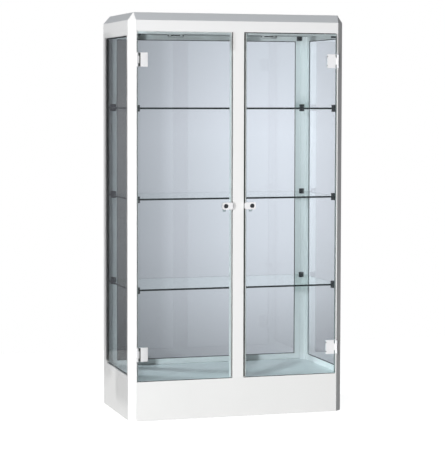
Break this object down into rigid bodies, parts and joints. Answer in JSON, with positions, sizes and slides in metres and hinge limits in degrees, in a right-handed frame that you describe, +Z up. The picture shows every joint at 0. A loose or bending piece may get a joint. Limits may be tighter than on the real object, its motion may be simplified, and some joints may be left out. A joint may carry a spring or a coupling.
{
  "type": "display case",
  "caption": "Free-standing glass display case on a low plinth: bevelled white frame, glass shelves on corner clips, hinged locking glass doors and ceiling lamps.",
  "frame": {"origin": "centre of the footprint, on the floor", "axes": "+X to the right seen from the front, +Y from the doors to the back, +Z up"},
  "size_m": [1, 0.513, 1.8],
  "materials": {
    "white_frame": "satin white powder coat",
    "white_panel": "satin white powder coat on sheet",
    "plinth_board": "board with satin white laminate",
    "deck_board": "white laminate, satin",
    "batten_wood": "planed pine, bare",
    "clear_glass": "polished, faint green",
    "door_glass": "polished, ground edges, faint green",
    "shelf_glass": "polished, ground edges, green at the edge",
    "seal_rubber": "matte black",
    "black_plastic": "matte moulded",
    "hinge_white": "satin white enamel",
    "steel": "plain turned",
    "lock_white": "gloss white moulding",
    "lock_chrome": "polished",
    "lamp_white": "satin white enamel",
    "lamp_lens": "frosted",
    "lamp_aluminium": "spun, matte"
  },
  "bodies": {
    "case": {"plinth_front": "plinth_board", "plinth_back": "plinth_board", "plinth_left": "plinth_board", "plinth_right": "plinth_board", "plinth_brace": "batten_wood", "deck_battens": "batten_wood", "deck": "deck_board", "post_front_left": "white_frame", "post_front_right": "white_frame", "post_back_left": "white_frame", "post_back_right": "white_frame", "mullion": "white_frame", "top_stops": "white_frame", "left_glazing_rails": "white_frame", "right_glazing_rails": "white_frame", "back_glazing_rails": "white_frame", "left_glass": "clear_glass", "right_glass": "clear_glass", "back_glass": "clear_glass", "glazing_gaskets": "seal_rubber", "left_glazing_beads": "white_frame", "right_glazing_beads": "white_frame", "back_glazing_beads": "white_frame", "shelf_clips": "black_plastic", "shelf_lower": "shelf_glass", "shelf_middle": "shelf_glass", "shelf_upper": "shelf_glass", "fascia_front": "white_panel", "fascia_back": "white_panel", "fascia_left": "white_panel", "fascia_right": "white_panel", "ceiling": "white_panel", "ceiling_blocks": "black_plastic", "lamp_rings": "lamp_white", "lamp_lenses": "lamp_lens", "lamp_cans": "lamp_aluminium", "cable_gland": "black_plastic", "crown_front": "white_panel", "crown_back": "white_panel", "crown_left": "white_panel", "crown_right": "white_panel", "roof": "white_panel", "hinge_post_leaves": "hinge_white", "hinge_pins": "steel"},
    "left_door": {"left_door_glass": "door_glass", "left_hinge_leaves": "hinge_white", "left_hinge_clamps": "hinge_white", "left_hinge_screws": "steel", "left_lock_housing": "lock_white", "left_lock_barrel": "lock_chrome"},
    "right_door": {"right_door_glass": "door_glass", "right_hinge_leaves": "hinge_white", "right_hinge_clamps": "hinge_white", "right_hinge_screws": "steel", "right_lock_housing": "lock_white", "right_lock_barrel": "lock_chrome"},
    "left_lock": {"left_lock_plug": "lock_chrome", "left_lock_cam": "steel"},
    "right_lock": {"right_lock_plug": "lock_chrome", "right_lock_cam": "steel"}
  },
  "joints": [
    {"name": "left_door_hinge", "type": "hinge", "parent": "case", "child": "left_door", "pos_m": [-0.467, -0.2563, 0.95], "axis": [0, 0, -1], "range_deg": [0, 100]},
    {"name": "right_door_hinge", "type": "hinge", "parent": "case", "child": "right_door", "pos_m": [0.467, -0.2563, 0.95], "axis": [0, 0, 1], "range_deg": [0, 100]},
    {"name": "left_lock_turn", "type": "hinge", "parent": "left_door", "child": "left_lock", "pos_m": [-0.061, -0.25, 0.946], "axis": [0, -1, 0], "range_deg": [0, 90]},
    {"name": "right_lock_turn", "type": "hinge", "parent": "right_door", "child": "right_lock", "pos_m": [0.061, -0.25, 0.946], "axis": [0, 1, 0], "range_deg": [0, 90]}
  ]
}
